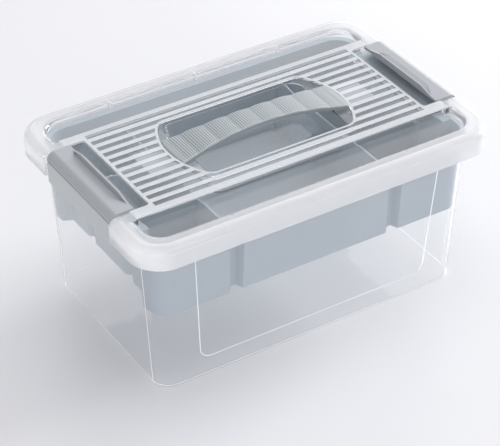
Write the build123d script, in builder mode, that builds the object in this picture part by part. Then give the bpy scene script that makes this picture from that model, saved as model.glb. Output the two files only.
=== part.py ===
from build123d import *
import os
from math import cos, pi, radians, sqrt, tan

os.makedirs("parts", exist_ok=True)

# Clear storage box with a lift-off lid, a hanging compartment tray, two end
# latches and an arched carry handle.  Millimetres.  +X runs along the length,
# +Y to the back and +Z up, with the origin on the table under the middle.

# ---------------------------------------------------------------- base box
base_length = 261.5        # outside, at the table
base_width = 159.5
base_corner_radius = 13.0
base_draft = 3.3           # degrees, every upright wall leans out
base_wall = 2.0
base_floor = 2.4
foot_fillet = 2.5
ledge_z = 130.5            # top of the rim ledge
ledge_thickness = 2.0
rim_reach = 8.4            # how far the rim stands out from the wall
rim_corner_radius = 21.2
hem_wall = 1.6
hem_depth = 6.0            # turned-down edge of the rim
ridge_inset = 2.6          # seat ridge, in from the rim's edge
ridge_width = 2.0
ridge_height = 4.0
emboss_width = 195.8       # shallow panel in the front and back walls, drawn down to the table
emboss_foot_z = 17.8
emboss_corner = 10.0
emboss_depth = 0.6

# --------------------------------------------------------------------- lid
lid_sheet = 1.8
lid_clearance = 2.0        # skirt to rim, all round
skirt_depth = 11.5         # below the seat
crown_rise = 5.2           # rounded border above the window plane
crown_radius = 6.5
border_width = 16.0        # skirt to window
window_corner = 12.5
border_round = 5.0
panel_width = 115.0        # raised middle panel
panel_rise = 6.5           # above the window plane
panel_length = 267.0       # the latch wells cut into its ends
panel_round = 1.2
groove_count = 12          # clear grooves between the frosted stripes
groove_pitch = 9.0
groove_width = 4.7
groove_depth = 0.5
groove_margin = 2.3        # frosted edge before the wells
recess_length = 148.0      # hollow under the handle
recess_width = 77.0
recess_end_bow = 13.5      # how far each end bows out
recess_corner = 10.0
recess_depth = 20.8
recess_draft = 14.0        # degrees
shelf_drop = 3.0           # end shelves that carry the handle
shelf_reach = 14.0
pad_reach = 23.0           # thicker pads under the panel, beyond the hollow's ends
pad_width = 28.4
pad_thickness = 1.2
border_rib_place = 74.5    # ribs inside the long borders: here and in the middle
border_rib_width = 1.2

# ------------------------------------------------------------------ latches
latch_length = 93.6
latch_gap = 1.1            # to the cut ends of the lid's border
latch_sheet = 2.0
latch_rise = 6.9           # top face above the window plane
latch_shoulder = 6.0       # outer radius
latch_inset = 1.4          # face of the cover plate, in from the lid's side
cover_thickness = 2.3
cover_groove = 0.9
cover_proud = 0.3
cover_round = 0.8
cover_height = 17.6
cover_overhang = 0.8       # below the hinge barrels
scoop_reach = 11.0         # face to the crease where the finger scoop starts
scoop_depth = 1.2
scoop_crease = 50.0        # length of the scoop at its crease
scoop_mouth = 76.0         # and at the finger lip
lip_reach = 19.4           # face to the inner edge of the finger lip
lip_width = 1.6
lip_rise = 3.0             # crest of the finger lip above the top face
lip_crest = 54.0           # length of the crest
lip_foot = 80.0            # length over its sloping ends
nib_reach = 14.9           # face to the inner side of the holding nib
nib_width = 1.5
nib_gap = 0.9
hinge_inset = 5.3          # cover face to hinge axis
hinge_drop = 8.5           # ledge to hinge axis
hinge_radius = 2.9
pin_diameter = 3.0
pin_running_fit = 0.05     # radial, in the lugs
pin_seat_fit = 0.02        # radial, in the latch
lug_width = 6.4
lug_place = 37.2           # middle of each lug from the middle of the latch
lug_side_gap = 0.4
lug_swing_gap = 0.8
notch_margin = 5.0         # lid floor stops this far inside the hinge axis
well_inner_x = 117.5
well_corner = 2.5

# --------------------------------------------------------------------- tray
tray_sheet = 1.6
tray_gap = 0.9             # tray to base wall
tray_depth = 62.1
lip_overlap = 2.4          # tray lip on the ledge
divider_drop = 12.5        # divider tops below the ledge
divider_wall = 1.5
divider_x = 68.0
cross_divider_y = 28.0
flute_width = 11.0         # channels in the outside, one at each end of a divider
flute_floor = 6.0
flute_depth = 6.0
end_flute_depth = 3.2
step_width = 122.0         # the end walls step in between the corners
step_floor = 115.0
step_depth = 7.6

# ------------------------------------------------------------------- handle
handle_end_gap = 0.7       # handle to the ends of the hollow
handle_end_width = 33.0
handle_waist_width = 22.0
handle_end_bow = 2.4
bridge_thickness = 2.0
bridge_rise = 6.8          # middle of the bridge above the lid panel
foot_length = 13.0         # flat feet on the shelves
foot_thickness = 2.4
grip_thickness = 0.8       # at the creases
grip_inset = 0.8           # from the handle's ends
wave_count = 6
wave_pitch = 19.0
wave_height = 0.9
peg_diameter = 5.0
peg_clearance = 0.1
peg_drop = 4.0
peg_inset = 5.3            # from the handle's ends

# ------------------------------------------------------------ modelling limits
corner_limit = 2.1         # a corner radius is at most its side over this
same_place = 0.01          # points closer than this are one
overcut = 4                # cutting boxes reach this many thicknesses

# --------------------------------------------------------- worked-out places
slope = tan(radians(base_draft))
wall_length = base_length + 2 * ledge_z * slope          # outside, at the ledge
wall_width = base_width + 2 * ledge_z * slope
mouth_length = wall_length - 2 * base_wall
mouth_width = wall_width - 2 * base_wall
mouth_radius = base_corner_radius + ledge_z * slope - base_wall
rim_length = wall_length + 2 * rim_reach
rim_width = wall_width + 2 * rim_reach
hem_z = ledge_z - hem_depth
seat_z = ledge_z + ridge_height

lid_growth = 2 * (lid_clearance + lid_sheet)
lid_length = rim_length + lid_growth
lid_width = rim_width + lid_growth
lid_corner_radius = rim_corner_radius + lid_growth / 2
skirt_z = seat_z - skirt_depth
window_z = seat_z + lid_sheet
crown_z = window_z + crown_rise
panel_z = window_z + panel_rise
shelf_z = panel_z - shelf_drop
recess_z = panel_z - recess_depth
window_length = lid_length - 2 * border_width
window_width = lid_width - 2 * border_width

face_x = lid_length / 2 - latch_inset
hinge_x = face_x - hinge_inset
hinge_z = ledge_z - hinge_drop
latch_top_z = window_z + latch_rise
latch_under_z = latch_top_z - latch_sheet
lip_x = face_x - lip_reach
leg_face_x = face_x - cover_thickness
notch_x = hinge_x - notch_margin
notch_length = latch_length + 2 * latch_gap
cover_foot_z = hinge_z - hinge_radius - cover_overhang
cover_top_z = cover_foot_z + cover_height

tray_length = mouth_length - 2 * tray_gap                # outside, at the ledge
tray_width = mouth_width - 2 * tray_gap
tray_radius = mouth_radius - tray_gap
tray_foot_z = ledge_z - tray_depth
tray_foot_shrink = tray_depth * slope
divider_z = ledge_z - divider_drop

handle_half_length = recess_length / 2 - handle_end_gap
grip_half_length = handle_half_length - grip_inset
peg_place = handle_half_length - peg_inset
bridge_top_z = panel_z + bridge_rise
bridge_foot_z = shelf_z + foot_thickness


def rounded(length, width, radius, mode=Mode.ADD):
    """A rounded rectangle whose corners never outgrow its sides."""
    largest = min(length, width) / corner_limit
    RectangleRounded(length, width, min(radius, largest), mode=mode)


def both_ends(x, y=0.0, z=0.0):
    """The same place at the right and at the left end."""
    return [(x, y, z), (-x, y, z)]


def make_base_box():
    with BuildPart() as base_box:
        with BuildSketch():
            rounded(base_length, base_width, base_corner_radius)
        extrude(amount=ledge_z, taper=-base_draft)
        fillet(base_box.faces().sort_by(Axis.Z)[0].edges(), foot_fillet)

        # Rim: a ledge with its edge turned down, and the ridge the lid sits on.
        with BuildSketch(Plane.XY.offset(hem_z)):
            rounded(rim_length, rim_width, rim_corner_radius)
        extrude(amount=hem_depth)
        with BuildSketch(Plane.XY.offset(hem_z)):
            rounded(rim_length - 2 * hem_wall, rim_width - 2 * hem_wall, rim_corner_radius - hem_wall)
            rounded(wall_length, wall_width, mouth_radius + base_wall, mode=Mode.SUBTRACT)
        extrude(amount=hem_depth - ledge_thickness, mode=Mode.SUBTRACT)
        ridge_outer = 2 * ridge_inset
        ridge_inner = 2 * (ridge_inset + ridge_width)
        with BuildSketch(Plane.XY.offset(ledge_z)):
            rounded(rim_length - ridge_outer, rim_width - ridge_outer, rim_corner_radius - ridge_inset)
            rounded(rim_length - ridge_inner, rim_width - ridge_inner,
                    rim_corner_radius - ridge_inset - ridge_width, mode=Mode.SUBTRACT)
        extrude(amount=ridge_height)

        # The rim stops short behind each latch.
        with Locations(*both_ends(notch_x + rim_length / 2, 0, hem_z)):
            Box(rim_length, notch_length, overcut * hem_depth, mode=Mode.SUBTRACT)

        # Hinge lugs hang from the ledge on slanted arms.
        arm_run = hinge_x - notch_x
        tangent = hinge_radius * cos(pi / 4)
        arm_x = notch_x - arm_run
        arm_foot_z = ledge_z - ledge_thickness - hinge_radius
        for end in (1, -1):
            for side in (1, -1):
                with BuildSketch(Plane.XZ.offset(side * lug_place)):
                    with Locations((end * hinge_x, hinge_z)):
                        Circle(hinge_radius)
                    with BuildLine():
                        Polyline(
                            (end * (hinge_x - tangent), hinge_z - tangent),
                            (end * (hinge_x + tangent), hinge_z + tangent),
                            (end * notch_x, ledge_z),
                            (end * arm_x, ledge_z),
                            (end * arm_x, arm_foot_z),
                            close=True,
                        )
                    make_face()
                extrude(amount=lug_width / 2, both=True)

        # Cavity, drafted like the outside.
        rise = base_floor * slope
        with BuildSketch(Plane.XY.offset(base_floor)):
            rounded(base_length + 2 * rise - 2 * base_wall, base_width + 2 * rise - 2 * base_wall,
                    base_corner_radius + rise - base_wall)
        extrude(amount=ledge_z - base_floor, taper=-base_draft, mode=Mode.SUBTRACT)

        # Pin holes through the lugs.
        for end in (1, -1):
            with BuildSketch(Plane.XZ):
                with Locations((end * hinge_x, hinge_z)):
                    Circle(pin_diameter / 2 + pin_running_fit)
            extrude(amount=lug_place + lug_width, both=True, mode=Mode.SUBTRACT)

        # Shallow panels in the front and back walls, open at the top and drafted.
        foot_x = emboss_width / 2 + emboss_foot_z * slope
        head_x = emboss_width / 2 + hem_z * slope
        for face in (-1, 1):
            wall_plane = Plane(
                origin=(0, face * base_width / 2, 0), x_dir=(1, 0, 0),
                z_dir=(0, face, -slope),
            )
            foot_y = -face * emboss_foot_z
            head_y = -face * hem_z
            with BuildSketch(wall_plane) as emboss:
                Polygon(
                    (-foot_x, foot_y), (foot_x, foot_y), (head_x, head_y), (-head_x, head_y),
                    align=None,
                )
                fillet(emboss.vertices().group_by(Axis.Z)[0], emboss_corner)
            extrude(amount=-emboss_depth, mode=Mode.SUBTRACT)
    base_box.part.label = "base_box"
    return base_box.part


def make_recess_plan():
    """Outline of the hollow under the handle: straight sides and bowed ends."""
    corner_x = recess_length / 2 - recess_end_bow
    corner_y = recess_width / 2
    with BuildSketch() as plan:
        with BuildLine():
            Line((-corner_x, corner_y), (corner_x, corner_y))
            ThreePointArc((corner_x, corner_y), (recess_length / 2, 0), (corner_x, -corner_y))
            Line((corner_x, -corner_y), (-corner_x, -corner_y))
            ThreePointArc((-corner_x, -corner_y), (-recess_length / 2, 0), (-corner_x, corner_y))
        make_face()
        fillet(plan.vertices(), recess_corner)
    return plan.sketch


def make_panel():
    """Raised block in the middle of the lid, with softened top edges."""
    with BuildPart() as panel:
        with BuildSketch(Plane.XY.offset(window_z)):
            Rectangle(panel_length, panel_width)
        extrude(amount=panel_rise)
        fillet(panel.faces().sort_by(Axis.Z)[-1].edges(), panel_round)
    return panel.part


def make_lid():
    inner_length = lid_length - 2 * lid_sheet
    inner_width = lid_width - 2 * lid_sheet
    inner_radius = lid_corner_radius - lid_sheet
    channel_length = window_length + border_round            # half the rounding on each side
    channel_width = window_width + border_round
    web = notch_length + 2 * lid_sheet
    panel_under = panel_width - 2 * lid_sheet
    panel_under_z = panel_z - groove_depth - lid_sheet
    well_length = lid_length - well_inner_x                  # runs out past the lid's end
    well_middle_x = well_inner_x + well_length / 2
    recess_plan = make_recess_plan()
    with BuildPart() as lid:
        with BuildSketch(Plane.XY.offset(skirt_z)):
            rounded(lid_length, lid_width, lid_corner_radius)
        extrude(amount=crown_z - skirt_z)
        fillet(lid.faces().sort_by(Axis.Z)[-1].edges(), crown_radius)

        # Underside: open up to the seat, then up into the rounded border.
        with BuildSketch(Plane.XY.offset(skirt_z)):
            rounded(inner_length, inner_width, inner_radius)
        extrude(amount=skirt_depth, mode=Mode.SUBTRACT)
        with BuildSketch(Plane.XY.offset(seat_z)):
            rounded(inner_length - 2 * lid_sheet, inner_width - 2 * lid_sheet, inner_radius - lid_sheet)
            rounded(channel_length, channel_width, window_corner + border_round / 2, mode=Mode.SUBTRACT)
            Rectangle(lid_length, web, mode=Mode.SUBTRACT)
            with GridLocations(border_rib_place, 0, 3, 1):
                Rectangle(border_rib_width, lid_width, mode=Mode.SUBTRACT)
        extrude(amount=crown_rise, mode=Mode.SUBTRACT)

        # Front and back windows sink below the border.
        with BuildSketch(Plane.XY.offset(window_z)):
            rounded(window_length, window_width, window_corner)
            Rectangle(lid_length, panel_width, mode=Mode.SUBTRACT)
        extrude(amount=crown_rise, mode=Mode.SUBTRACT)
        outer_y = window_width / 2
        top_edges = lid.edges().filter_by_position(Axis.Z, crown_z - same_place, crown_z + same_place)
        top_edges = top_edges.filter_by(GeomType.LINE).filter_by(Axis.X)
        border_edges = [e for e in top_edges if abs(abs(e.center().Y) - outer_y) < same_place]
        fillet(border_edges, border_round)

        # Raised middle panel with its underside hollowed.
        add(make_panel())
        with BuildSketch(Plane.XY.offset(seat_z)):
            Rectangle(panel_length - 2 * lid_sheet, panel_under)
            with Locations(*both_ends(well_middle_x)):
                rounded(well_length + 2 * lid_sheet, web, well_corner + lid_sheet, mode=Mode.SUBTRACT)
        extrude(amount=panel_under_z - seat_z, mode=Mode.SUBTRACT)

        # Pads under the panel where the handle pulls.
        pad_x = recess_length / 2 + pad_reach / 2
        with BuildSketch(Plane.XY.offset(panel_under_z - pad_thickness)):
            with Locations((pad_x, 0), (-pad_x, 0)):
                Rectangle(pad_reach, pad_width)
        extrude(amount=pad_thickness)

        # Grooves along the panel leave frosted stripes between them.
        with BuildSketch(Plane.XY.offset(panel_z)):
            with GridLocations(0, groove_pitch, 1, groove_count):
                Rectangle(2 * (well_inner_x - groove_margin), groove_width)
        extrude(amount=-groove_depth, mode=Mode.SUBTRACT)

        # Hollow under the handle, with a shelf at each end.
        shelf_x = recess_length / 2 - shelf_reach
        deep = recess_z - shelf_z
        with BuildSketch(Plane.XY.offset(shelf_z - lid_sheet)):
            add(recess_plan)
            offset(amount=lid_sheet)
        extrude(amount=panel_z - shelf_z + lid_sheet)
        with BuildSketch(Plane.XY.offset(shelf_z)):
            rounded(2 * (shelf_x + lid_sheet), recess_width + 2 * lid_sheet, recess_corner + lid_sheet)
        extrude(amount=deep - lid_sheet, taper=recess_draft)
        with BuildSketch(Plane.XY.offset(shelf_z)):
            add(recess_plan)
        extrude(amount=shelf_drop, mode=Mode.SUBTRACT)
        with BuildSketch(Plane.XY.offset(shelf_z)):
            rounded(2 * shelf_x, recess_width, recess_corner)
        extrude(amount=deep, taper=recess_draft, mode=Mode.SUBTRACT)
        with Locations(*both_ends(peg_place, 0, shelf_z)):
            Cylinder(peg_diameter / 2 + peg_clearance, overcut * lid_sheet, mode=Mode.SUBTRACT)

        # Wells for the fingers, and the border cut away where the latches lie.
        with BuildSketch(Plane.XY.offset(window_z)):
            with Locations(*both_ends(well_middle_x)):
                rounded(well_length, notch_length, well_corner)
        extrude(amount=2 * panel_rise, mode=Mode.SUBTRACT)
        with Locations(*both_ends(notch_x + lid_length / 2, 0, seat_z)):
            Box(lid_length, notch_length, overcut * skirt_depth, mode=Mode.SUBTRACT)

        # Seat rib that stands on the ridge of the base.
        rib_outer = 2 * (lid_clearance + lid_sheet + ridge_inset)
        rib_inner = rib_outer + 2 * ridge_width
        with BuildSketch(Plane.XY.offset(seat_z)):
            rounded(lid_length - rib_outer, lid_width - rib_outer, rim_corner_radius - ridge_inset)
            rounded(lid_length - rib_inner, lid_width - rib_inner,
                    rim_corner_radius - ridge_inset - ridge_width, mode=Mode.SUBTRACT)
            Rectangle(lid_length, web, mode=Mode.SUBTRACT)
        extrude(amount=crown_rise)
    lid.part.label = "lid"
    return lid.part


def make_scoop():
    """Wedge that slopes down from the crease to the finger lip, wider at the lip."""
    crease_x = face_x - scoop_reach
    mouth_x = lip_x + lip_width
    with BuildPart() as scoop:
        with BuildSketch(Plane.XZ):
            Polygon(
                (crease_x, latch_top_z), (mouth_x, latch_top_z), (mouth_x, latch_top_z - scoop_depth),
                align=None,
            )
        extrude(amount=scoop_mouth, both=True)
        with BuildSketch(Plane.XY.offset(latch_top_z - scoop_depth)):
            Polygon(
                (crease_x, scoop_crease / 2), (crease_x, -scoop_crease / 2),
                (mouth_x, -scoop_mouth / 2), (mouth_x, scoop_mouth / 2),
                align=None,
            )
        extrude(amount=2 * scoop_depth, mode=Mode.INTERSECT)
    return scoop.part


def make_latch():
    """Right-hand latch: a hinged leg, a shoulder over the lid and a finger lip."""
    shoulder_x = face_x - cover_proud
    leg_x = leg_face_x - latch_sheet
    inner_round = latch_shoulder - (shoulder_x - leg_x)
    nib_x = face_x - nib_reach
    roof_z = latch_under_z - scoop_depth
    step_z = cover_top_z + cover_groove
    half = latch_length / 2
    knuckle = half - lug_place - lug_width / 2 - lug_side_gap
    with BuildPart() as latch:
        with BuildSketch(Plane.XZ):
            with BuildLine():
                Polyline(
                    (leg_x, hinge_z - hinge_radius),
                    (leg_face_x, hinge_z - hinge_radius),
                    (leg_face_x, step_z),
                    (shoulder_x, step_z),
                    (shoulder_x, latch_top_z - latch_shoulder),
                )
                CenterArc(
                    (shoulder_x - latch_shoulder, latch_top_z - latch_shoulder), latch_shoulder, 0, 90
                )
                Polyline(
                    (shoulder_x - latch_shoulder, latch_top_z),
                    (lip_x, latch_top_z),
                    (lip_x, latch_under_z),
                    (nib_x, latch_under_z),
                    (nib_x, window_z + nib_gap),
                    (nib_x + nib_width, window_z + nib_gap),
                    (nib_x + nib_width, roof_z),
                    (leg_x - inner_round, roof_z),
                )
                CenterArc((leg_x - inner_round, roof_z - inner_round), inner_round, 90, -90)
                Line((leg_x, roof_z - inner_round), (leg_x, hinge_z - hinge_radius))
            make_face()
        extrude(amount=half, both=True)

        # Finger scoop, and the raised lip with its sloping ends.
        add(make_scoop(), mode=Mode.SUBTRACT)
        with BuildSketch(Plane.YZ.offset(lip_x)):
            Polygon(
                (-lip_foot / 2, latch_top_z), (-lip_crest / 2, latch_top_z + lip_rise),
                (lip_crest / 2, latch_top_z + lip_rise), (lip_foot / 2, latch_top_z),
                align=None,
            )
        extrude(amount=lip_width)

        # Knuckles on the hinge axis, and room for the lugs of the base.
        for side in (1, -1):
            with BuildSketch(Plane.XZ.offset(side * (half - knuckle / 2))):
                with Locations((hinge_x, hinge_z)):
                    Circle(hinge_radius)
            extrude(amount=knuckle / 2, both=True)
            with Locations((leg_x, side * lug_place, hinge_z)):
                Box(
                    overcut * latch_sheet, lug_width + 2 * lug_side_gap,
                    2 * (hinge_radius + lug_swing_gap), mode=Mode.SUBTRACT,
                )
        with BuildSketch(Plane.XZ):
            with Locations((hinge_x, hinge_z)):
                Circle(pin_diameter / 2 + pin_seat_fit)
        extrude(amount=latch_length, both=True, mode=Mode.SUBTRACT)
    return latch.part


def make_latch_cover():
    """Smooth outer plate on the leg of the right-hand latch."""
    with BuildPart() as cover:
        with Locations(((leg_face_x + face_x) / 2, 0, cover_foot_z)):
            Box(
                cover_thickness, latch_length, cover_height,
                align=(Align.CENTER, Align.CENTER, Align.MIN),
            )
        fillet(cover.faces().sort_by(Axis.X)[-1].edges(), cover_round)
    return cover.part


def make_hinge_pins():
    """Two short pins of the right-hand latch, one at each lug."""
    inner_y = lug_place - lug_width / 2
    outer_y = latch_length / 2 - pin_seat_fit
    with BuildPart() as pins:
        for side in (1, -1):
            with BuildSketch(Plane.XZ.offset(side * (inner_y + outer_y) / 2)):
                with Locations((hinge_x, hinge_z)):
                    Circle(pin_diameter / 2)
            extrude(amount=(outer_y - inner_y) / 2, both=True)
    return pins.part


def make_channels(sheet):
    """Channels in the outside of the tray, two in each wall, and the wide steps that
    hold the channels of the end walls.  With the sheet of the tray, their linings."""
    half_length = tray_length / 2 - tray_foot_shrink
    half_width = tray_width / 2 - tray_foot_shrink
    flute_height = divider_z - tray_foot_z - tray_sheet + sheet
    side_flute = (flute_width, flute_floor, flute_depth, flute_height)
    end_flute = (flute_width, flute_floor, end_flute_depth, flute_height)
    end_step = (step_width, step_floor, step_depth, tray_depth)
    with BuildPart() as channels:
        for out in (1, -1):
            add(make_channel(0, out, half_width, divider_x, *side_flute, sheet))
            add(make_channel(0, out, half_width, -divider_x, *side_flute, sheet))
            add(make_channel(out, 0, half_length, 0, *end_step, sheet))
            add(make_channel(out, 0, half_length - step_depth, cross_divider_y, *end_flute, sheet))
            add(make_channel(out, 0, half_length - step_depth, -cross_divider_y, *end_flute, sheet))
    return channels.part


def make_channel(out_x, out_y, reach, place, width, floor_width, depth, height, sheet):
    """One channel up the wall that faces (out_x, out_y), with its sides splayed."""
    foot = Plane(
        origin=(out_x * reach, out_y * reach, tray_foot_z),
        x_dir=(-out_y, out_x, 0), z_dir=(0, 0, 1),
    )
    mouth = width / 2 + sheet
    floor = floor_width / 2 + sheet
    with BuildPart() as channel:
        with BuildSketch(foot):
            Polygon(
                (place - mouth, -lip_overlap), (place + mouth, -lip_overlap),
                (place + mouth, 0), (place + floor, depth + sheet),
                (place - floor, depth + sheet), (place - mouth, 0),
                align=None,
            )
        lean = (out_x * slope, out_y * slope, 1)
        extrude(amount=height / cos(radians(base_draft)), dir=lean)
    return channel.part


def make_tray():
    """Lift-out tray that hangs from its lip, with thin dividers between channels."""
    floor_z = tray_foot_z + tray_sheet
    inset = tray_sheet + (tray_depth - tray_sheet) * slope
    half_length = tray_length / 2
    with BuildPart() as envelope:
        with BuildSketch(Plane.XY.offset(tray_foot_z)):
            rounded(tray_length - 2 * tray_foot_shrink, tray_width - 2 * tray_foot_shrink,
                    tray_radius - tray_foot_shrink)
        extrude(amount=tray_depth, taper=-base_draft)

    with BuildPart() as dividers:
        with BuildSketch(Plane.XY.offset(floor_z)):
            with Locations((divider_x, 0), (-divider_x, 0)):
                Rectangle(divider_wall, tray_width)
            with Locations(
                ((divider_x + half_length) / 2, cross_divider_y),
                ((divider_x + half_length) / 2, -cross_divider_y),
                (-(divider_x + half_length) / 2, cross_divider_y),
                (-(divider_x + half_length) / 2, -cross_divider_y),
            ):
                Rectangle(half_length - divider_x, divider_wall)
        extrude(amount=divider_z - floor_z)
        add(make_channels(tray_sheet))
        add(envelope.part, mode=Mode.INTERSECT)

    with BuildPart() as tray:
        add(envelope.part)
        with BuildSketch(Plane.XY.offset(ledge_z)):
            rounded(mouth_length + 2 * lip_overlap, mouth_width + 2 * lip_overlap,
                    mouth_radius + lip_overlap)
        extrude(amount=tray_sheet)
        with BuildSketch(Plane.XY.offset(floor_z)):
            rounded(tray_length - 2 * inset, tray_width - 2 * inset, tray_radius - inset)
        extrude(amount=tray_depth, taper=-base_draft, mode=Mode.SUBTRACT)
        add(dividers.part)
        with BuildSketch(Plane.XY.offset(ledge_z)):
            with Locations(*both_ends(tray_length / 2 - step_depth / 2)):
                Rectangle(step_depth + 2 * tray_sheet, step_width)
        extrude(amount=tray_sheet)
        add(make_channels(0), mode=Mode.SUBTRACT)
    tray.part.label = "tray"
    return tray.part


def make_handle_plan():
    """Seen from above: bowed ends and a waist."""
    end_x = handle_half_length - handle_end_bow
    end_y = handle_end_width / 2
    waist_y = handle_waist_width / 2
    with BuildSketch() as plan:
        with BuildLine():
            ThreePointArc((-end_x, end_y), (0, waist_y), (end_x, end_y))
            ThreePointArc((end_x, end_y), (handle_half_length, 0), (end_x, -end_y))
            ThreePointArc((end_x, -end_y), (0, -waist_y), (-end_x, -end_y))
            ThreePointArc((-end_x, -end_y), (-handle_half_length, 0), (-end_x, end_y))
        make_face()
    return plan.sketch


def bridge_height(x):
    """Top of the bridge at x: a circular arch between flat feet."""
    span = handle_half_length - foot_length / 2
    rise = bridge_top_z - bridge_foot_z
    radius = (span ** 2 + rise ** 2) / (2 * rise)
    return max(bridge_foot_z, bridge_top_z - radius + sqrt(radius ** 2 - x ** 2))


def make_handle_bridge(plan):
    span = handle_half_length - foot_length / 2
    with BuildPart() as bridge:
        with BuildSketch(Plane.XZ):
            with BuildLine():
                ThreePointArc((-span, bridge_foot_z), (0, bridge_top_z), (span, bridge_foot_z))
                Line((span, bridge_foot_z), (span, bridge_foot_z - foot_thickness))
                ThreePointArc(
                    (span, bridge_foot_z - foot_thickness),
                    (0, bridge_top_z - bridge_thickness),
                    (-span, bridge_foot_z - foot_thickness),
                )
                Line((-span, bridge_foot_z - foot_thickness), (-span, bridge_foot_z))
            make_face()
            with Locations(
                (handle_half_length - foot_length / 2, shelf_z + foot_thickness / 2),
                (foot_length / 2 - handle_half_length, shelf_z + foot_thickness / 2),
            ):
                Rectangle(foot_length, foot_thickness)
        extrude(amount=handle_end_width / 2, both=True)
        with BuildSketch(Plane.XY.offset(shelf_z)):
            add(plan)
        extrude(amount=bridge_top_z - shelf_z, mode=Mode.INTERSECT)
        with BuildSketch(Plane.XY.offset(shelf_z)):
            with Locations((peg_place, 0), (-peg_place, 0)):
                Circle(peg_diameter / 2)
        extrude(amount=-peg_drop)
    bridge.part.label = "handle_bridge"
    return bridge.part


def make_handle_grip(plan):
    """Soft sleeve on top of the bridge, in rounded lobes that meet in creases."""
    reach = wave_count // 2
    creases = [wave_pitch * i for i in range(-reach, reach + 1)]
    creases = [-grip_half_length] + creases + [grip_half_length]
    span = handle_half_length - foot_length / 2
    left_end = (-grip_half_length, bridge_foot_z)
    right_end = (grip_half_length, bridge_foot_z)
    with BuildPart() as grip:
        with BuildSketch(Plane.XZ):
            with BuildLine():
                Line(left_end, (-span, bridge_foot_z))
                ThreePointArc((-span, bridge_foot_z), (0, bridge_top_z), (span, bridge_foot_z))
                Line((span, bridge_foot_z), right_end)
                for start, stop in zip(creases, creases[1:]):
                    middle = (start + stop) / 2
                    ThreePointArc(
                        (start, bridge_height(start) + grip_thickness),
                        (middle, bridge_height(middle) + grip_thickness + wave_height),
                        (stop, bridge_height(stop) + grip_thickness),
                    )
                Line(right_end, (grip_half_length, bridge_foot_z + grip_thickness))
                Line(left_end, (-grip_half_length, bridge_foot_z + grip_thickness))
            make_face()
        extrude(amount=handle_end_width / 2, both=True)
        with BuildSketch(Plane.XY.offset(shelf_z)):
            add(plan)
        extrude(amount=2 * (bridge_top_z - shelf_z), mode=Mode.INTERSECT)
    grip.part.label = "handle_grip"
    return grip.part


parts = [make_base_box(), make_lid(), make_tray()]
handle_plan = make_handle_plan()
parts += [make_handle_bridge(handle_plan), make_handle_grip(handle_plan)]
right_pieces = {
    "latch": make_latch(),
    "latch_cover": make_latch_cover(),
    "latch_pins": make_hinge_pins(),
}
for name, piece in right_pieces.items():
    with BuildPart() as right_piece:
        add(piece)
    right_piece.part.label = f"{name}_right"
    with BuildPart() as left_piece:
        mirror(piece, about=Plane.YZ)
    left_piece.part.label = f"{name}_left"
    parts += [right_piece.part, left_piece.part]

for part in parts:
    export_step(part, f"parts/{part.label}.step")
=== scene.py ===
import bmesh
import bpy
import math
from mathutils import Matrix, Vector


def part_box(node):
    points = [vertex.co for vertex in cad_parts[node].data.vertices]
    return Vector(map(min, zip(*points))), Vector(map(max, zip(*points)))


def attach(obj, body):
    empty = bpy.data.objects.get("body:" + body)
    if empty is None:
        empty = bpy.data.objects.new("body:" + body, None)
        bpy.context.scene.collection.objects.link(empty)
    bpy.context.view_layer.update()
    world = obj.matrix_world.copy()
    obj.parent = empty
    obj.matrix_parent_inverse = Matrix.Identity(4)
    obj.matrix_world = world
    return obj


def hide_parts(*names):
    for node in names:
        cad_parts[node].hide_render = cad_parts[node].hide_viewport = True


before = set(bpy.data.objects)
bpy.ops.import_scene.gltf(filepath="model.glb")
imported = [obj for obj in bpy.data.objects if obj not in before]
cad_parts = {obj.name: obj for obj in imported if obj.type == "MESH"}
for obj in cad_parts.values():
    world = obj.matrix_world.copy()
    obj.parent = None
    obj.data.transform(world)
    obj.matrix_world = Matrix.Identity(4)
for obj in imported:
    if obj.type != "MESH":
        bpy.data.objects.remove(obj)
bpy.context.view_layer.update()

MM = 0.001

# ---------------------------------------------------------------- camera
CAMERA_PLACE = Vector((-0.6749, -1.0712, 0.9644))
CAMERA_FORWARD = Vector((0.4300, 0.6880, -0.5847)).normalized()
CAMERA_ROLL = math.radians(-0.26)
SENSOR_WIDTH = 36.0
FOCAL_PIXELS = 2047.0
PHOTO_WIDTH = 500.0

# ------------------------------------------------- places on the lid (mm)
BORDER_WIDTH = 16.0
BORDER_CREST = 11.2        # from the outline to where the border dips to the windows
LID_CORNER = 22.2
WINDOW_REACH = 28.5        # from the outline to the end of a window's rounded corner
WINDOW_TOP = 136.3
PANEL_HALF_WIDTH = 57.5
PANEL_ROUND = 1.2
PANEL_HALF_LENGTH = 133.5
HOLLOW_HALF_LENGTH = 74.0
PAD_LENGTH = 24.0          # frosted pads under the lid, beside the hollow
PAD_HALF_WIDTH = 15.0
PAD_HIGHEST = 3.0          # below the lid's top
PAD_LOWEST = 5.0
SAME = 0.05                # closer than this is the same height
LEVEL = 0.9995             # a face whose normal is at least this upright lies flat
ROUND_LOW = 0.05           # normals of the panel's rounded edge rise between these
ROUND_HIGH = 0.999
FACING_DOWN = -0.9

# -------------------------------------------- shallow panels of the base (mm)
EMBOSS_HALF_WIDTH = 97.9   # drawn down to the table
EMBOSS_FOOT = 17.8
EMBOSS_CORNER = 10.0
EMBOSS_HEAD = 123.5
BASE_HALF_LENGTH = 130.75
BASE_HALF_WIDTH = 79.75
BASE_CORNER = 13.0
FOOT_ROUND = 2.5
CORNER_TURN = math.radians(2)
BASE_DRAFT = math.tan(math.radians(3.3))
BEAD_RADIUS = 0.42
BEAD_FACETS = 2
CORNER_STEPS = 8

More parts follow.
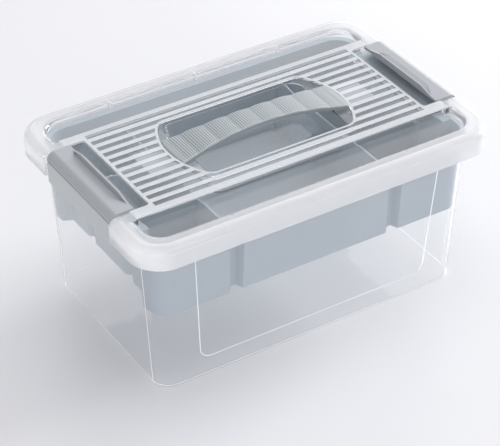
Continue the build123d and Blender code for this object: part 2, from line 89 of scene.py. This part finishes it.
# ------------------------------------------------------------ handle (mm)
HANDLE_HALF_LENGTH = 73.3
FOOT_LENGTH = 13.0
END_BOW = 2.4
END_HALF_WIDTH = 16.5
WAIST_HALF_WIDTH = 11.0
GRIP_HALF_LENGTH = 72.5
GRIP_THICKNESS = 0.8
LOBE_PITCH = 19.0
LOBE_HEIGHT = 0.86
LOBE_COUNT = 6
BRIDGE_TOP = 149.6
BRIDGE_RISE = 7.4
RIB_PITCH = 1.9
RIB_DEPTH = 0.42
WEAVE_PITCH = 2.3
WEAVE_SHARE = 0.35
SMOOTH_END = 6.0
SLEEVE_ROUND = 1.1
SLEEVE_ACROSS = 80
STEPS_PER_RIB = 6
GRIP_STEP = RIB_PITCH / STEPS_PER_RIB

# ---------------------------------------------------------- light and floor
PLASTIC_INDEX = 1.49
GLOW_SHARE = 0.35          # share of light that scatters through milky plastic
MOTTLE_LOW = 0.3
MOTTLE_HIGH = 0.7
# painted shade: the sleeve darkens where its pointiness falls below the first of these
VALLEY_POINT = 0.44        # pointiness between the sleeve's ribs and on them
RIDGE_POINT = 0.53
FINE_GRAIN = 0.0002
ALONG_LATCH = (1, 0.12, 1)
FLOOR_SIZE = 8
FLOOR_COLOUR = (0.805, 0.805, 0.82)
FLOOR_ROUGHNESS = 0.30
FLOOR_SPREAD = 0.03
SKY_COLOUR = (0.95, 0.95, 1.0, 1)
SKY_STRENGTH = 0.53
BOX_MIDDLE = (0, 0, 0.1)


# ---------------------------------------------------------------- materials
class Shader:
    """A node tree with short ways to add and join nodes."""

    def __init__(self, name):
        self.material = bpy.data.materials.new(name)
        self.material.use_nodes = True
        self.tree = self.material.node_tree
        self.tree.nodes.clear()
        self.out = self.tree.nodes.new("ShaderNodeOutputMaterial")

    def node(self, kind, **values):
        node = self.tree.nodes.new("ShaderNode" + kind)
        for name, value in values.items():
            socket = name.replace("_", " ")
            if socket in node.inputs:
                node.inputs[socket].default_value = value
            else:
                setattr(node, name, value)
        return node

    def link(self, source, target):
        self.tree.links.new(source, target)

    def principled(self, colour, roughness, **more):
        return self.node("BsdfPrincipled", Base_Color=(*colour, 1), Roughness=roughness, **more)

    def mix(self, factor, first, second):
        """Mix two shaders; the factor is a number or an output socket."""
        mix = self.node("MixShader")
        if isinstance(factor, (int, float)):
            mix.inputs[0].default_value = factor
        else:
            self.link(factor, mix.inputs[0])
        self.link(first, mix.inputs[1])
        self.link(second, mix.inputs[2])
        return mix.outputs[0]

    def noise(self, scale, detail=3.0, roughness=0.5, stretch=(1, 1, 1)):
        place = self.node("TexCoord")
        mapping = self.node("Mapping")
        mapping.inputs["Scale"].default_value = stretch
        noise = self.node("TexNoise", Scale=scale, Detail=detail)
        noise.inputs["Roughness"].default_value = roughness
        self.link(place.outputs["Object"], mapping.inputs["Vector"])
        self.link(mapping.outputs["Vector"], noise.inputs["Vector"])
        return noise.outputs["Fac"]

    def ramp(self, source, low, high, first, second):
        ramp = self.node("ValToRGB")
        ramp.color_ramp.elements[0].position = low
        ramp.color_ramp.elements[1].position = high
        ramp.color_ramp.elements[0].color = (*first, 1)
        ramp.color_ramp.elements[1].color = (*second, 1)
        self.link(source, ramp.inputs[0])
        return ramp.outputs[0]

    def mottle(self, scale, colour, shade, stretch=(1, 1, 1)):
        """Soft patches of a colour and a slightly darker one."""
        darker = tuple(shade * c for c in colour)
        noise = self.noise(scale, stretch=stretch)
        return self.ramp(noise, MOTTLE_LOW, MOTTLE_HIGH, colour, darker)

    def span(self, source, low, high):
        spread = self.node("MapRange")
        spread.inputs["To Min"].default_value = low
        spread.inputs["To Max"].default_value = high
        self.link(source, spread.inputs["Value"])
        return spread.outputs["Result"]

    def bump(self, source, strength, distance):
        bump = self.node("Bump", Strength=strength, Distance=distance)
        self.link(source, bump.inputs["Height"])
        return bump.outputs["Normal"]

    def finish(self, surface):
        self.link(surface, self.out.inputs["Surface"])
        return self.material


def clear_plastic(name, haze, haze_colour, tint, passing, roughness=0.03):
    """Moulded plastic, clear or hazy; lamps and soft light pass straight through."""
    s = Shader(name)
    glass = s.principled(tint, roughness, IOR=PLASTIC_INDEX, Transmission_Weight=1.0)
    s.link(s.bump(s.noise(24.0, 2.0, 0.5, (1, 1, 0.3)), 0.01, 0.0006), glass.inputs["Normal"])
    milk = s.principled(haze_colour, 0.25)
    s.link(s.mottle(9.0, haze_colour, 0.96), milk.inputs["Base Color"])
    glow = s.node("BsdfTranslucent", Color=(*haze_colour, 1))
    through = s.node("BsdfTransparent", Color=(passing, passing, passing, 1))
    path = s.node("LightPath")
    fog = s.mix(GLOW_SHARE, milk.outputs[0], glow.outputs[0])
    body = s.mix(haze, glass.outputs[0], fog)
    shadow = s.mix(path.outputs["Is Shadow Ray"], body, through.outputs[0])
    return s.finish(s.mix(path.outputs["Is Diffuse Ray"], shadow, through.outputs[0]))


def frosted_plastic(name, colour, cover, roughness, grain, passing):
    """Frosted plastic: pale and scattering, with some of what lies behind it."""
    s = Shader(name)
    pale = s.principled(colour, roughness, IOR=PLASTIC_INDEX)
    s.link(s.mottle(14.0, colour, 0.97), pale.inputs["Base Color"])
    s.link(s.bump(s.noise(1600.0, 2.0), grain, FINE_GRAIN), pale.inputs["Normal"])
    glow = s.node("BsdfTranslucent", Color=(*colour, 1))
    through = s.node("BsdfTransparent", Color=(passing, passing, passing, 1))
    path = s.node("LightPath")
    solid = s.mix(GLOW_SHARE, pale.outputs[0], glow.outputs[0])
    body = s.mix(cover, through.outputs[0], solid)
    return s.finish(s.mix(path.outputs["Is Shadow Ray"], body, through.outputs[0]))


def satin_plastic(name, colour, roughness, shade=0.93, grain=0.12, stretch=(1, 1, 1)):
    """Coloured satin plastic with a fine moulded grain and a slight mottle."""
    s = Shader(name)
    p = s.principled(colour, roughness, IOR=1.47)
    s.link(s.mottle(18.0, colour, shade, stretch), p.inputs["Base Color"])
    s.link(s.span(s.noise(55.0, stretch=stretch), roughness * 0.85, roughness * 1.15),
           p.inputs["Roughness"])
    s.link(s.bump(s.noise(1900.0, 2.0, stretch=stretch), grain, FINE_GRAIN), p.inputs["Normal"])
    return s.finish(p.outputs[0])


def soft_rubber(name, colour, valley_shade):
    """Soft handle sleeve with painted shade: darker between the ribs than on their tops."""
    s = Shader(name)
    p = s.principled(colour, 0.38, IOR=1.45)
    place = s.node("NewGeometry")
    rib_shading = s.ramp(place.outputs["Pointiness"], VALLEY_POINT, RIDGE_POINT, valley_shade, colour)
    s.link(rib_shading, p.inputs["Base Color"])
    s.link(s.bump(s.noise(2600.0, 2.0), 0.2, FINE_GRAIN), p.inputs["Normal"])
    return s.finish(p.outputs[0])


CLEAR = clear_plastic("clear_plastic", 0.03, (0.97, 0.97, 0.98), (0.99, 0.995, 1.0), 0.99)
LID_CLEAR = clear_plastic("lid_clear", 0.06, (0.95, 0.96, 0.98), (0.98, 0.99, 1.0), 0.93)
DIP = clear_plastic("border_slope", 0.17, (0.98, 0.98, 0.99), (0.99, 0.99, 1.0), 0.97, 0.06)
RIDGE = clear_plastic("border_crest", 0.28, (0.98, 0.98, 0.99), (0.99, 0.99, 1.0), 0.97, 0.08)
MILKY = clear_plastic("milky_border", 0.54, (0.98, 0.98, 0.99), (0.99, 0.99, 1.0), 0.97, 0.08)
FROST = frosted_plastic("frosted_stripe", (0.96, 0.98, 1.0), 0.90, 0.40, 0.2, 0.92)
# white frosted finish for painted highlights: on the lid panel's rounded edges and on the
# base's beads
HIGHLIGHT_FINISH = frosted_plastic("painted_highlight", (0.99, 0.99, 1.0), 0.95, 0.15, 0.02, 0.95)
PAD = frosted_plastic("pad_frost", (0.95, 0.97, 1.0), 0.6, 0.42, 0.2, 0.9)
TRAY = satin_plastic("tray_plastic", (0.42, 0.48, 0.53), 0.36, 0.95)
LATCH = satin_plastic("latch_plastic", (0.43, 0.45, 0.47), 0.24, 0.95, 0.05, ALONG_LATCH)
COVER = satin_plastic("latch_plate_plastic", (0.58, 0.61, 0.61), 0.24, 0.95, 0.05, ALONG_LATCH)
PIN = satin_plastic("pin_plastic", (0.32, 0.34, 0.36), 0.35)
CORE = satin_plastic("handle_plastic", (0.34, 0.37, 0.38), 0.4)
# the second colour is painted shade between the sleeve's ribs
SLEEVE = soft_rubber("handle_sleeve", (0.55, 0.59, 0.61), (0.07, 0.09, 0.095))


def assign(node, material):
    """Give a CAD node one material."""
    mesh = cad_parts[node].data
    mesh.materials.clear()
    mesh.materials.append(material)


# ---------------------------------------------------------------- lid
LID_MATERIALS = (MILKY, LID_CLEAR, FROST, HIGHLIGHT_FINISH, PAD, DIP, RIDGE)
BORDER, GLASS, STRIPE, HIGHLIGHT_ROUND, PADS, SLOPE, CREST = range(7)


def border_depth(x, y, half_length, half_width):
    """How far a place lies inside the lid's outline (mm)."""
    over_x = x - (half_length - LID_CORNER)
    over_y = y - (half_width - LID_CORNER)
    if over_x > 0 and over_y > 0:
        return LID_CORNER - math.hypot(over_x, over_y)
    return min(half_length - x, half_width - y)


def on_pad(x, y, drop, normal):
    """Whether a face lies on a frosted pad; drop is how far it is below the lid's top (mm)."""
    if normal.z > FACING_DOWN or not PAD_HIGHEST < drop < PAD_LOWEST:
        return False
    return HOLLOW_HALF_LENGTH < x < HOLLOW_HALF_LENGTH + PAD_LENGTH and y < PAD_HALF_WIDTH


def lid_part(centre, normal, half_length, half_width, top):
    """Which finish a face of the lid has, from its place in millimetres."""
    x, y, z = abs(centre.x) / MM, abs(centre.y) / MM, centre.z / MM
    depth = border_depth(x, y, half_length, half_width)
    window_end = x > half_length - WINDOW_REACH and y > half_width - WINDOW_REACH
    if depth < BORDER_WIDTH + SAME or (window_end and z > WINDOW_TOP + SAME):
        if abs(normal.z) > LEVEL:
            return CREST
        return BORDER if depth < BORDER_CREST else SLOPE
    if z > top - SAME:
        return STRIPE
    round_y = abs(y - PANEL_HALF_WIDTH) < PANEL_ROUND + SAME
    round_x = abs(x - PANEL_HALF_LENGTH) < PANEL_ROUND + SAME
    rounding = ROUND_LOW < normal.z < ROUND_HIGH and z > top - PANEL_ROUND - SAME
    # The panel's rounded top edges are real; their white finish is a painted highlight.
    if rounding and (round_x or round_y):
        return HIGHLIGHT_ROUND
    return PADS if on_pad(x, y, top - z, normal) else GLASS


def make_lid_shell():
    """The lid's own mesh again, with a finish for each of its regions."""
    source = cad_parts["lid"]
    low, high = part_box("lid")
    mesh = source.data.copy()
    mesh.name = "lid_shell"
    mesh.materials.clear()
    for material in LID_MATERIALS:
        mesh.materials.append(material)
    for face in mesh.polygons:
        face.material_index = lid_part(
            face.center, face.normal, high[0] / MM, high[1] / MM, high[2] / MM)
    shell = bpy.data.objects.new("lid_shell", mesh)
    bpy.context.scene.collection.objects.link(shell)
    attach(shell, "lid")
    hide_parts("lid")


# ---------------------------------------------------------------- base beads: painted highlights
def wall_point(x, z, side):
    """A point on the drafted front (side -1) or back wall."""
    return Vector((x, side * (BASE_HALF_WIDTH + z * BASE_DRAFT), z)) * MM


def bead_outline(side):
    """Outline of a shallow panel: up one side, round the foot and up the other."""
    foot_x = EMBOSS_HALF_WIDTH + EMBOSS_FOOT * BASE_DRAFT
    head_x = EMBOSS_HALF_WIDTH + EMBOSS_HEAD * BASE_DRAFT
    points = [wall_point(-head_x, EMBOSS_HEAD, side)]
    for end in (-1, 1):
        turn = []
        for i in range(CORNER_STEPS + 1):
            angle = math.pi / 2 * i / CORNER_STEPS
            x = foot_x - EMBOSS_CORNER + EMBOSS_CORNER * math.cos(angle)
            z = EMBOSS_FOOT + EMBOSS_CORNER - EMBOSS_CORNER * math.sin(angle)
            turn.append(wall_point(end * x, z, side))
        points += turn if end < 0 else turn[::-1]
    points.append(wall_point(head_x, EMBOSS_HEAD, side))
    return points


def corner_highlight_line(end, side):
    """Where a painted highlight runs up a rounded corner of the base, from foot to rim."""
    points = []
    for z in (FOOT_ROUND, EMBOSS_HEAD):
        radius = BASE_CORNER + z * BASE_DRAFT
        x = BASE_HALF_LENGTH - BASE_CORNER + radius * math.cos(CORNER_TURN)
        y = BASE_HALF_WIDTH - BASE_CORNER + radius * math.sin(CORNER_TURN)
        points.append(Vector((end * x, side * y, z)) * MM)
    return points


def foot_outline():
    """The base's rounded outline just above its rounded foot."""
    radius = BASE_CORNER + FOOT_ROUND * BASE_DRAFT
    points = []
    for quarter, (end, side) in enumerate(((1, 1), (-1, 1), (-1, -1), (1, -1))):
        for i in range(CORNER_STEPS + 1):
            angle = math.pi / 2 * (quarter + i / CORNER_STEPS)
            x = end * (BASE_HALF_LENGTH - BASE_CORNER) + radius * math.cos(angle)
            y = side * (BASE_HALF_WIDTH - BASE_CORNER) + radius * math.sin(angle)
            points.append(Vector((x, y, FOOT_ROUND)) * MM)
    return points


def make_highlight_bead(name, points, closed=False):
    """Fine white bead on the clear wall: a painted highlight, along a real rounded edge at the
    panels and the foot.
    """
    curve = bpy.data.curves.new(name, "CURVE")
    curve.dimensions = "3D"
    curve.bevel_depth = BEAD_RADIUS * MM
    curve.bevel_resolution = BEAD_FACETS
    curve.use_fill_caps = True
    spline = curve.splines.new("POLY")
    spline.use_cyclic_u = closed
    spline.points.add(len(points) - 1)
    for target, point in zip(spline.points, points):
        target.co = (*point, 1)
    curve.materials.append(HIGHLIGHT_FINISH)
    bead = bpy.data.objects.new(name, curve)
    bpy.context.scene.collection.objects.link(bead)
    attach(bead, "base")


# ---------------------------------------------------------------- grip
def bridge_height(x):
    """Top of the handle's bridge at x: a circular arch between flat feet (mm)."""
    span = HANDLE_HALF_LENGTH - FOOT_LENGTH / 2
    radius = (span ** 2 + BRIDGE_RISE ** 2) / (2 * BRIDGE_RISE)
    arch = BRIDGE_TOP - radius + math.sqrt(radius ** 2 - x ** 2)
    return max(BRIDGE_TOP - BRIDGE_RISE, arch)


def handle_half_width(x):
    """Half width of the handle at x: a waist of circular arcs, with bowed ends (mm)."""
    end_x = HANDLE_HALF_LENGTH - END_BOW
    bow = END_HALF_WIDTH - WAIST_HALF_WIDTH
    radius = (end_x ** 2 + bow ** 2) / (2 * bow)
    waist = WAIST_HALF_WIDTH + radius - math.sqrt(radius ** 2 - x ** 2)
    end_radius = (END_HALF_WIDTH ** 2 + END_BOW ** 2) / (2 * END_BOW)
    end_rise = end_radius - HANDLE_HALF_LENGTH + abs(x)
    return min(waist, math.sqrt(end_radius ** 2 - max(0.0, end_rise) ** 2))


def lobe_height(x):
    """Swell of the lobe that holds x, zero at the creases (mm)."""
    reach = LOBE_COUNT / 2 * LOBE_PITCH
    if abs(x) > reach:
        start, stop = reach, GRIP_HALF_LENGTH
    else:
        start = math.floor(abs(x) / LOBE_PITCH) * LOBE_PITCH
        stop = start + LOBE_PITCH
    middle, half = (start + stop) / 2, (stop - start) / 2
    return LOBE_HEIGHT * (1 - ((abs(x) - middle) / half) ** 2)


def rib_drop(x, y):
    """Depth below the lobe of fine cross ribs, broken up like a weave (mm)."""
    fade = min(1.0, max(0.0, (GRIP_HALF_LENGTH - abs(x)) / SMOOTH_END))
    rib = math.cos(2 * math.pi * x / RIB_PITCH)
    weave = math.cos(2 * math.pi * y / WEAVE_PITCH)
    return RIB_DEPTH * fade * (1 - (1 - WEAVE_SHARE) * rib - WEAVE_SHARE * rib * weave) / 2


def sleeve_point(x, share):
    """A point on the sleeve's top; share runs from -1 to 1 across it (mm)."""
    half_width = handle_half_width(x)
    inside = max(0.0, SLEEVE_ROUND - (1 - abs(share)) * half_width)
    drop = SLEEVE_ROUND - math.sqrt(SLEEVE_ROUND ** 2 - inside ** 2)
    y = share * half_width
    height = bridge_height(x) + GRIP_THICKNESS + lobe_height(x) - rib_drop(x, y)
    return x, y, max(bridge_height(x), height - drop)


def make_sleeve():
    """Sleeve of the handle: lobes with fine woven ribs and rounded edges."""
    across = [math.sin(math.pi * (j / SLEEVE_ACROSS - 0.5)) for j in range(SLEEVE_ACROSS + 1)]
    reach = int(GRIP_HALF_LENGTH / GRIP_STEP)
    mesh = bmesh.new()
    rings = []
    for i in range(-reach, reach + 1):
        x = i * GRIP_STEP
        ring = [sleeve_point(x, share) for share in across]
        foot = bridge_height(x)
        ring += [(x, handle_half_width(x), foot), (x, -handle_half_width(x), foot)]
        rings.append([mesh.verts.new(Vector(point) * MM) for point in ring])
    for first, second in zip(rings, rings[1:]):
        count = len(first)
        for j in range(count):
            k = (j + 1) % count
            mesh.faces.new((first[j], second[j], second[k], first[k]))
    mesh.faces.new(rings[0])
    mesh.faces.new(rings[-1][::-1])
    bmesh.ops.recalc_face_normals(mesh, faces=mesh.faces)
    data = bpy.data.meshes.new("grip_sleeve")
    mesh.to_mesh(data)
    mesh.free()
    for face in data.polygons:
        face.use_smooth = len(face.vertices) == 4
    data.materials.append(SLEEVE)
    sleeve = bpy.data.objects.new("grip_sleeve", data)
    bpy.context.scene.collection.objects.link(sleeve)
    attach(sleeve, "lid")
    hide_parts("handle_grip")


for name, material in (
    ("base_box", CLEAR), ("tray", TRAY), ("handle_bridge", CORE), ("handle_grip", SLEEVE),
    ("latch_right", LATCH), ("latch_left", LATCH), ("latch_cover_right", COVER),
    ("latch_cover_left", COVER), ("latch_pins_right", PIN), ("latch_pins_left", PIN),
):
    assign(name, material)
make_lid_shell()
# painted highlights along the shallow panels' rounded edges
make_highlight_bead("highlight_bead_front", bead_outline(-1))
make_highlight_bead("highlight_bead_back", bead_outline(1))
# painted highlight along the base's rounded foot
make_highlight_bead("highlight_bead_foot", foot_outline(), True)
# painted highlights up the base's rounded corners
for end, side, name in ((-1, -1, "a"), (1, -1, "b"), (1, 1, "c"), (-1, 1, "d")):
    make_highlight_bead("highlight_bead_corner_" + name, corner_highlight_line(end, side))
make_sleeve()


# ---------------------------------------------------------------- studio
def make_camera():
    """Camera at the photograph's place: direction and roll as fitted to it."""
    data = bpy.data.cameras.new("camera")
    data.sensor_width = SENSOR_WIDTH
    data.lens = FOCAL_PIXELS * SENSOR_WIDTH / PHOTO_WIDTH
    camera = bpy.data.objects.new("camera", data)
    bpy.context.scene.collection.objects.link(camera)
    right = CAMERA_FORWARD.cross(Vector((0, 0, 1))).normalized()
    up = right.cross(CAMERA_FORWARD)
    rolled_right = right * math.cos(CAMERA_ROLL) + up * math.sin(CAMERA_ROLL)
    rolled_up = up * math.cos(CAMERA_ROLL) - right * math.sin(CAMERA_ROLL)
    axes = Matrix((rolled_right, rolled_up, -CAMERA_FORWARD)).transposed()
    camera.matrix_world = Matrix.Translation(CAMERA_PLACE) @ axes.to_4x4()
    bpy.context.scene.camera = camera


def make_floor():
    """Plain pale floor that the box stands on."""
    bpy.ops.mesh.primitive_plane_add(size=FLOOR_SIZE, location=(0, 0, 0))
    floor = bpy.context.object
    floor.name = "floor"
    s = Shader("floor")
    p = s.principled(FLOOR_COLOUR, FLOOR_ROUGHNESS)
    smooth, rough = FLOOR_ROUGHNESS - FLOOR_SPREAD, FLOOR_ROUGHNESS + FLOOR_SPREAD
    s.link(s.span(s.noise(3.0), smooth, rough), p.inputs["Roughness"])
    floor.data.materials.append(s.finish(p.outputs[0]))


def softbox(name, place, target, size, power):
    """A white soft lamp at a place in metres, turned to its target."""
    data = bpy.data.lights.new(name, "AREA")
    data.shape = "RECTANGLE"
    data.size, data.size_y = size
    data.energy = power
    lamp = bpy.data.objects.new(name, data)
    lamp.location = place
    lamp.rotation_euler = (Vector(target) - Vector(place)).to_track_quat("-Z", "Y").to_euler()
    bpy.context.scene.collection.objects.link(lamp)


def make_world():
    """Even, faintly cool light from all sides."""
    world = bpy.data.worlds.new("studio")
    world.use_nodes = True
    sky = world.node_tree.nodes["Background"]
    sky.inputs["Color"].default_value = SKY_COLOUR
    sky.inputs["Strength"].default_value = SKY_STRENGTH
    bpy.context.scene.world = world


make_camera()
make_floor()
make_world()
softbox("key", (2.9, 0.1, 1.15), BOX_MIDDLE, (1.6, 1.0), 82)
softbox("side", (1.9, 2.0, 0.75), BOX_MIDDLE, (1.2, 0.5), 6)
softbox("back", (0.95, 1.75, 1.55), BOX_MIDDLE, (1.3, 0.8), 2.5)
softbox("top", (0.1, 0.2, 2.4), (0, 0, 0), (2.0, 2.0), 15)
softbox("front", (-1.4, -2.4, 0.9), (0, 0, 0.05), (3.0, 1.8), 26)

bpy.context.scene.view_settings.view_transform = "Standard"
cycles = bpy.context.scene.cycles
cycles.transparent_max_bounces = 24
cycles.max_bounces = 14
cycles.transmission_bounces = 14
